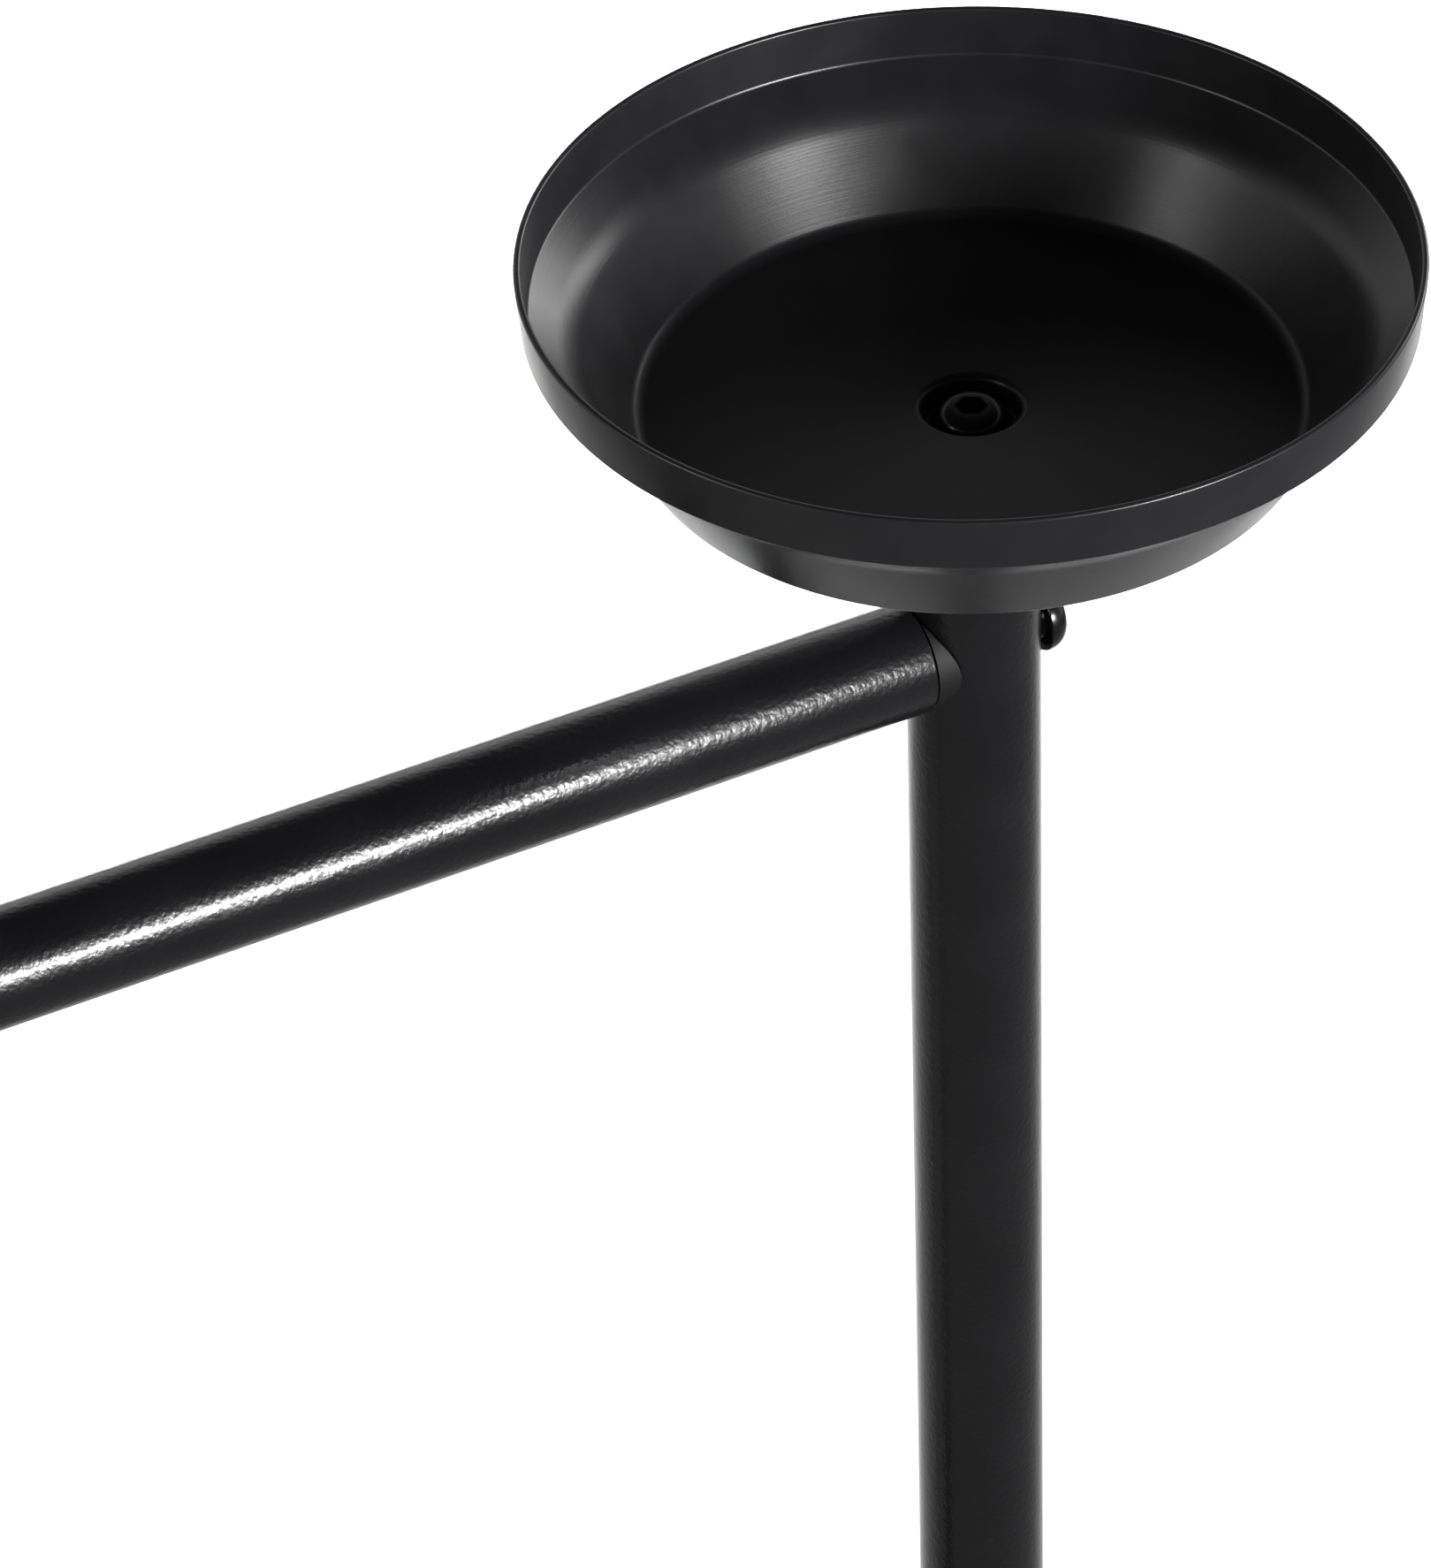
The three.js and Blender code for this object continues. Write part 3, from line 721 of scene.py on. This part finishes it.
# The twelve joint bolts are all of one length, so one is forged and copied.
bolt_pattern = None
for name, crossing, along, across in JOINTS:
    if name in ("spacer_rail", "spacer_mast"):
        continue
    low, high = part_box(f"{name}_bolt")
    length = (high - low)[main_axis(along)] - HEAD_HEIGHT
    bolt_pattern = bolt_pattern or forge_bolt("bolt", length)
    seat = joint_place(name, crossing, along) - along * (WIDE_TUBE + PLUG_PLAY)
    bolt = place_copy(bolt_pattern, f"{name}_button_bolt", seat, -along, across)
    fit(bolt, bolt_black, "black_bolt", f"{name}_bolt")
bpy.data.objects.remove(bolt_pattern)

# The long bolt from behind the mast is met in the top rail by a sleeve nut with the same head.
low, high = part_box("spacer_bolt")
long_bolt = forge_bolt("spacer_long_bolt", high.y - low.y - HEAD_HEIGHT)
settle(long_bolt, Vector((middle("spacer_bolt").x, high.y - HEAD_HEIGHT, middle("spacer_bolt").z)), Y, Z)
fit(long_bolt, bolt_black, "black_bolt", "spacer_bolt")
SLEEVE_RADIUS = 4.3 * MM
SLEEVE_LENGTH = 13 * MM
outline = rounded([
    (0, -1 * MM), (BOLT_HOLE, -1 * MM), (BOLT_HOLE, -SLEEVE_LENGTH),
    (SLEEVE_RADIUS, -SLEEVE_LENGTH, 0.3 * MM), (SLEEVE_RADIUS, 0),
])
nut = turn_profile("spacer_sleeve_nut", outline + [Vector(point) for point in head_outline()])
broach(nut)
low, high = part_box("spacer_nut")
settle(nut, Vector((middle("spacer_nut").x, low.y + HEAD_HEIGHT, middle("spacer_nut").z)), -Y, Z)
fit(nut, bolt_black, "black_bolt", "spacer_nut")


# ---------------------------------------------------------------- end caps
# Domed caps of black polyethylene close the open tube ends: four on the feet, one on the left
# post and two on the hanger. Ribs on each stem grip the bore, and the rim covers the tube's wall.
CAP_STEM = 12 * MM
CAP_RIM = 1.0 * MM
CAP_DOME = 3.0 * MM
CAP_TOP_RADIUS = 2.0 * MM
CAP_PLAY = 0.3 * MM
RIB = 0.4 * MM

# Polyethylene is softer and waxier than nylon: a satin black with a faint flow-marked surface.
polyethylene, tree = new_material("satin black polyethylene")
place = add_node(tree, "TexCoord").outputs["Object"]
flow = add_node(tree, "TexNoise", {"Vector": place, "Scale": 1 / (2.0 * MM), "Detail": 3.0})
grain = add_node(tree, "TexNoise", {"Vector": place, "Scale": 1 / (0.3 * MM), "Detail": 2.0})
relief = add_node(tree, "Bump", {"Height": grain.outputs["Fac"], "Strength": 1.0, "Distance": 0.006 * MM})
black = ramp(tree, flow.outputs["Fac"], [(0.3, "0E0E0F"), (0.7, "141415")])
gloss = add_node(tree, "MapRange", {"Value": flow.outputs["Fac"], "To Min": 0.38, "To Max": 0.5})
waxy = add_node(tree, "BsdfPrincipled", {
    "Base Color": black.outputs["Color"], "Roughness": gloss.outputs["Result"], "IOR": 1.51,
    "Normal": relief.outputs["Normal"],
})
close_material(tree, waxy)

stem = WIDE_TUBE - WALL - CAP_PLAY
corners = [(0, -CAP_STEM), (stem - 2 * RIB, -CAP_STEM, 0.3 * MM)]
for k in range(3):
    foot = -CAP_STEM + (1.5 + 3.2 * k) * MM
    corners += [(stem - RIB, foot), (stem, foot + 0.5 * MM), (stem, foot + 0.8 * MM)]
    corners += [(stem - RIB, foot + 1.3 * MM)]
corners += [(stem - RIB, CAP_PLAY), (WIDE_TUBE, CAP_PLAY, 0.25 * MM)]
dome = crown(WIDE_TUBE, CAP_TOP_RADIUS, CAP_PLAY + CAP_RIM, CAP_DOME)
cap_pattern = turn_profile("cap", rounded(corners + dome), TUBE_SIDES)


def cap_end(name, place, outward, right):
    """Puts a cap into a tube's end, facing outward."""
    cap = place_copy(cap_pattern, name + "_domed", place, outward, right)
    fit(cap, polyethylene, "cap_plastic", name)


for side in ("left", "right"):
    low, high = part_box(f"{side}_foot")
    middle_line = middle(f"{side}_foot")
    cap_end(f"{side}_foot_front_cap", Vector((middle_line.x, low.y, middle_line.z)), -Y, X)
    cap_end(f"{side}_foot_back_cap", Vector((middle_line.x, high.y, middle_line.z)), Y, X)
post_axis = middle("left_post")
cap_end("left_post_cap", Vector((post_axis.x, post_axis.y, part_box("left_post")[1].z)), Z, X)
for name, sign in (("left_hanger_cap", -1), ("right_hanger_cap", 1)):
    outward = Vector((sign * math.cos(slope), 0, -math.sin(slope)))
    cap_end(name, hanger_seat + Vector((sign * front.x, 0, front.z)), outward, Y)
bpy.data.objects.remove(cap_pattern)


# ---------------------------------------------------------------- threaded inserts
# Four zinc-plated rivet nuts are pressed up into the feet from below. A thin flange rests against
# the tube, and the sleeve inside takes the levelling screw.
FLANGE_RADIUS = 6.0 * MM
FLANGE_HEIGHT = 1.0 * MM
INSERT_RADIUS = 4.5 * MM

# Bright zinc plating passivated clear: a pale bluish metal with a satin skin and dull patches.
zinc, tree = new_material("bright zinc-plated steel")
place = add_node(tree, "TexCoord").outputs["Object"]
patch = add_node(tree, "TexNoise", {"Vector": place, "Scale": 1 / (1.8 * MM), "Detail": 3.0})
shade = ramp(tree, patch.outputs["Fac"], [(0.3, "A4A8AC"), (0.7, "BFC2C6")])
gloss = add_node(tree, "MapRange", {"Value": patch.outputs["Fac"], "To Min": 0.26, "To Max": 0.42})
plating = add_node(tree, "BsdfPrincipled", {
    "Base Color": shade.outputs["Color"], "Metallic": 1.0, "Roughness": gloss.outputs["Result"],
})
close_material(tree, plating)

low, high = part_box("left_front_insert")
insert_height = high.z - low.z
corners = [
    (BOLT_HOLE, 0.3 * MM), (BOLT_HOLE + 0.3 * MM, 0), (FLANGE_RADIUS, 0, 0.3 * MM),
    (FLANGE_RADIUS, FLANGE_HEIGHT, 0.15 * MM), (INSERT_RADIUS, FLANGE_HEIGHT),
    (INSERT_RADIUS, insert_height, 0.4 * MM), (BOLT_HOLE, insert_height), (BOLT_HOLE, 0.3 * MM),
]
insert_pattern = turn_profile("insert", rounded(corners))
for side in ("left", "right"):
    for end in ("front", "back"):
        name = f"{side}_{end}_insert"
        place = middle(name)
        place.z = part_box(name)[0].z
        insert = place_copy(insert_pattern, f"{side}_{end}_rivet_nut", place, Z, X)
        fit(insert, zinc, "zinc_insert", name)
bpy.data.objects.remove(insert_pattern)


# ---------------------------------------------------------------- levelling feet
# Four black nylon glides moulded round M6 studs. Each stud screws up into its insert, and the
# glide's broad face stands on the floor.
PAD_RADIUS = 11 * MM
NECK_RADIUS = 5 * MM
PAD_HEIGHT = 7 * MM
STUD_TOP = 21 * MM

corners = [
    (0, 0.4 * MM), (3 * MM, 0.4 * MM), (3.4 * MM, 0), (PAD_RADIUS - 1.2 * MM, 0, 0.4 * MM),
    (PAD_RADIUS, 1.2 * MM, 0.4 * MM), (PAD_RADIUS, 3.6 * MM, 0.5 * MM), (8 * MM, 5.4 * MM, 1.0 * MM),
    (NECK_RADIUS, 6 * MM, 0.3 * MM), (NECK_RADIUS, PAD_HEIGHT, 0.25 * MM), (THREAD_ROOT, PAD_HEIGHT),
]
stud = thread(THREAD_RADIUS, THREAD_ROOT, PAD_HEIGHT, STUD_TOP - 0.8 * MM)
tip = [(THREAD_ROOT, STUD_TOP - 0.5 * MM), (THREAD_ROOT - 0.5 * MM, STUD_TOP), (0, STUD_TOP)]
glide_pattern = turn_profile("glide", rounded(corners) + [Vector(point) for point in stud + tip])
for side in ("left", "right"):
    for end in ("front", "back"):
        name = f"{side}_{end}_leveller"
        place = middle(name)
        place.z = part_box(name)[0].z
        glide = place_copy(glide_pattern, f"{side}_{end}_levelling_glide", place, Z, X)
        fit(glide, nylon, "leveller_plastic", name, body=f"{side}_{end}_foot_screw")
        glide.data.materials.append(zinc)
        for face in glide.data.polygons:
            inside = (face.center - place).to_2d().length < THREAD_RADIUS
            face.material_index = int(inside and face.center.z > place.z + PAD_HEIGHT)
bpy.data.objects.remove(glide_pattern)


# ---------------------------------------------------------------- tray plug
# A black nylon plug is driven into the top of the right post. Ribs grip the tube, and the tray
# screw cuts its thread in the plug's bore.
low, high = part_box("tray_plug")
plug_length = high.z - low.z
plug_radius = (high.y - low.y) / 2
corners = [(BOLT_HOLE, 0.4 * MM), (BOLT_HOLE + 0.4 * MM, 0), (plug_radius - RIB, 0, 0.8 * MM)]
for k in range(5):
    foot = (2.0 + 3.6 * k) * MM
    corners += [(plug_radius - RIB, foot), (plug_radius, foot + 0.6 * MM)]
    corners += [(plug_radius, foot + 1.0 * MM), (plug_radius - RIB, foot + 1.6 * MM)]
corners += [(plug_radius - RIB, plug_length, 0.3 * MM), (BOLT_HOLE, plug_length), (BOLT_HOLE, 0.4 * MM)]
tray_plug = turn_profile("tray_ribbed_plug", rounded(corners), PLUG_SIDES)
settle(tray_plug, Vector((middle("tray_plug").x, middle("tray_plug").y, low.z)), Z, X)
fit(tray_plug, nylon, "plug_plastic", "tray_plug")


# ---------------------------------------------------------------- tray
# A round dish spun from 1 mm sheet steel over a former, and powder coated. Under its nearly
# upright lip a sloping shoulder rolls over into a steep wall, and the flat floor has a pressed
# seat for the screw.
SHEET = 1.0 * MM
TRAY_SIDES = 256
RIM_RADIUS = 61.5 * MM
TRAY_FLOOR = -25.2 * MM
LIP_FOOT = (59.9 * MM, -7.2 * MM)
SHOULDER = (54.0 * MM, -11.8 * MM)
SHOULDER_ROUND = 14 * MM
FLOOR_RADIUS = 45.9 * MM
SEAT_RADIUS = 7.6 * MM
SEAT_FLOOR = -30.0 * MM
EDGE_ROUND = 0.42 * MM
CREASE_ROUND = 2.5 * MM         # inside, where the wall meets the floor
ROUND_STEPS = 8


def outer_skin(inner):
    """The corners of the outer skin, one sheet's thickness out from the inner one's."""
    outer = [(inner[0][0] + SHEET, inner[0][1])]
    for k in range(1, len(inner)):
        here = Vector(inner[k][:2])
        before = (here - Vector(inner[k - 1][:2])).normalized()
        after = (Vector(inner[k + 1][:2]) - here).normalized() if k + 1 < len(inner) else Vector((-1, 0))
        mitre = Vector((-before.y, before.x)) + Vector((-after.y, after.x))
        outer.append(tuple(here + mitre * (2 * SHEET / mitre.length_squared)))
    return outer


inner = [(RIM_RADIUS - SHEET, 0), LIP_FOOT, SHOULDER, (FLOOR_RADIUS, TRAY_FLOOR)]
outer = outer_skin(inner)
corners = [
    (BOLT_HOLE, SEAT_FLOOR), (SEAT_RADIUS, SEAT_FLOOR, 1.2 * MM), (SEAT_RADIUS, TRAY_FLOOR - SHEET, 0.6 * MM),
    (*outer[3], 1.5 * MM), (*outer[2], SHOULDER_ROUND - SHEET), (*outer[1], 0.35 * MM),
    (*outer[0], EDGE_ROUND), (*inner[0], EDGE_ROUND), (*inner[1], 0.8 * MM), (*inner[2], SHOULDER_ROUND),
    (*inner[3], CREASE_ROUND), (SEAT_RADIUS - SHEET, TRAY_FLOOR, 1.2 * MM),
    (SEAT_RADIUS - SHEET, SEAT_FLOOR + SHEET, 0.6 * MM), (BOLT_HOLE, SEAT_FLOOR + SHEET),
    (BOLT_HOLE, SEAT_FLOOR),
]
tray = turn_profile("tray_spun_dish", rounded(corners, ROUND_STEPS), TRAY_SIDES)
settle(tray, rim_centre, Z, X)

# The same black powder coat over spun sheet. It lies smoother than on the tubes, with only a weak
# ripple, and the former's fine turning lines print through it round the bowl.
SPUN_LINES = 1 / (0.55 * MM)
tray_coat, tree = new_material("smooth black powder coat on spun steel")
place = add_node(tree, "TexCoord").outputs["Object"]
centred = add_node(tree, "Mapping", {"Vector": place, "Location": -rim_centre}).outputs["Vector"]
parts = add_node(tree, "SeparateXYZ", {"Vector": centred})
flat = add_node(tree, "CombineXYZ", {"X": parts.outputs["X"], "Y": parts.outputs["Y"]})
away = add_node(tree, "VectorMath", {"Vector": flat.outputs["Vector"]}, operation="LENGTH")
along_sheet = add_node(tree, "Math", {0: away.outputs["Value"], 1: parts.outputs["Z"]}, operation="ADD")
lines = add_node(tree, "TexNoise", {
    "W": along_sheet.outputs["Value"], "Scale": SPUN_LINES, "Detail": 2.0,
}, noise_dimensions="1D")
peel = add_node(tree, "TexNoise", {"Vector": place, "Scale": 1 / (1.0 * MM), "Detail": 1.5})
cloud = add_node(tree, "TexNoise", {"Vector": place, "Scale": 1 / (9 * MM), "Detail": 2.0})
turned = add_node(tree, "Bump", {"Height": lines.outputs["Fac"], "Strength": 1.0, "Distance": 0.006 * MM})
ripple = add_node(tree, "Bump", {
    "Height": peel.outputs["Fac"], "Strength": 1.0, "Distance": 0.006 * MM,
    "Normal": turned.outputs["Normal"],
})
black = ramp(tree, cloud.outputs["Fac"], [(0.35, "1D1D1F"), (0.65, "212123")])
gloss = add_node(tree, "MapRange", {
    "Value": cloud.outputs["Fac"], "From Min": 0.3, "From Max": 0.7, "To Min": 0.29, "To Max": 0.33,
})
coat = add_node(tree, "BsdfPrincipled", {
    "Base Color": black.outputs["Color"], "Roughness": gloss.outputs["Result"], "IOR": 1.5,
    "Normal": ripple.outputs["Normal"],
})
close_material(tree, coat)
fit(tray, tray_coat, "tray_coat", "tray")


# ---------------------------------------------------------------- tray screw
# A short button-head screw holds the tray down. Its head sits in the pressed seat, just below the
# floor, and it bites the plug in the post.
low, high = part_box("tray_screw")
screw = forge_bolt("tray_button_screw", high.z - low.z - HEAD_HEIGHT)
settle(screw, Vector((rim_centre.x, rim_centre.y, high.z - HEAD_HEIGHT)), Z, X)
fit(screw, bolt_black, "black_bolt", "tray_screw")


# ---------------------------------------------------------------- sizes and finish
# The outline of the CAD model and that of this one are gathered side by side.
look_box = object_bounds()
sizes = {"cad": cad_box, "visual": look_box}
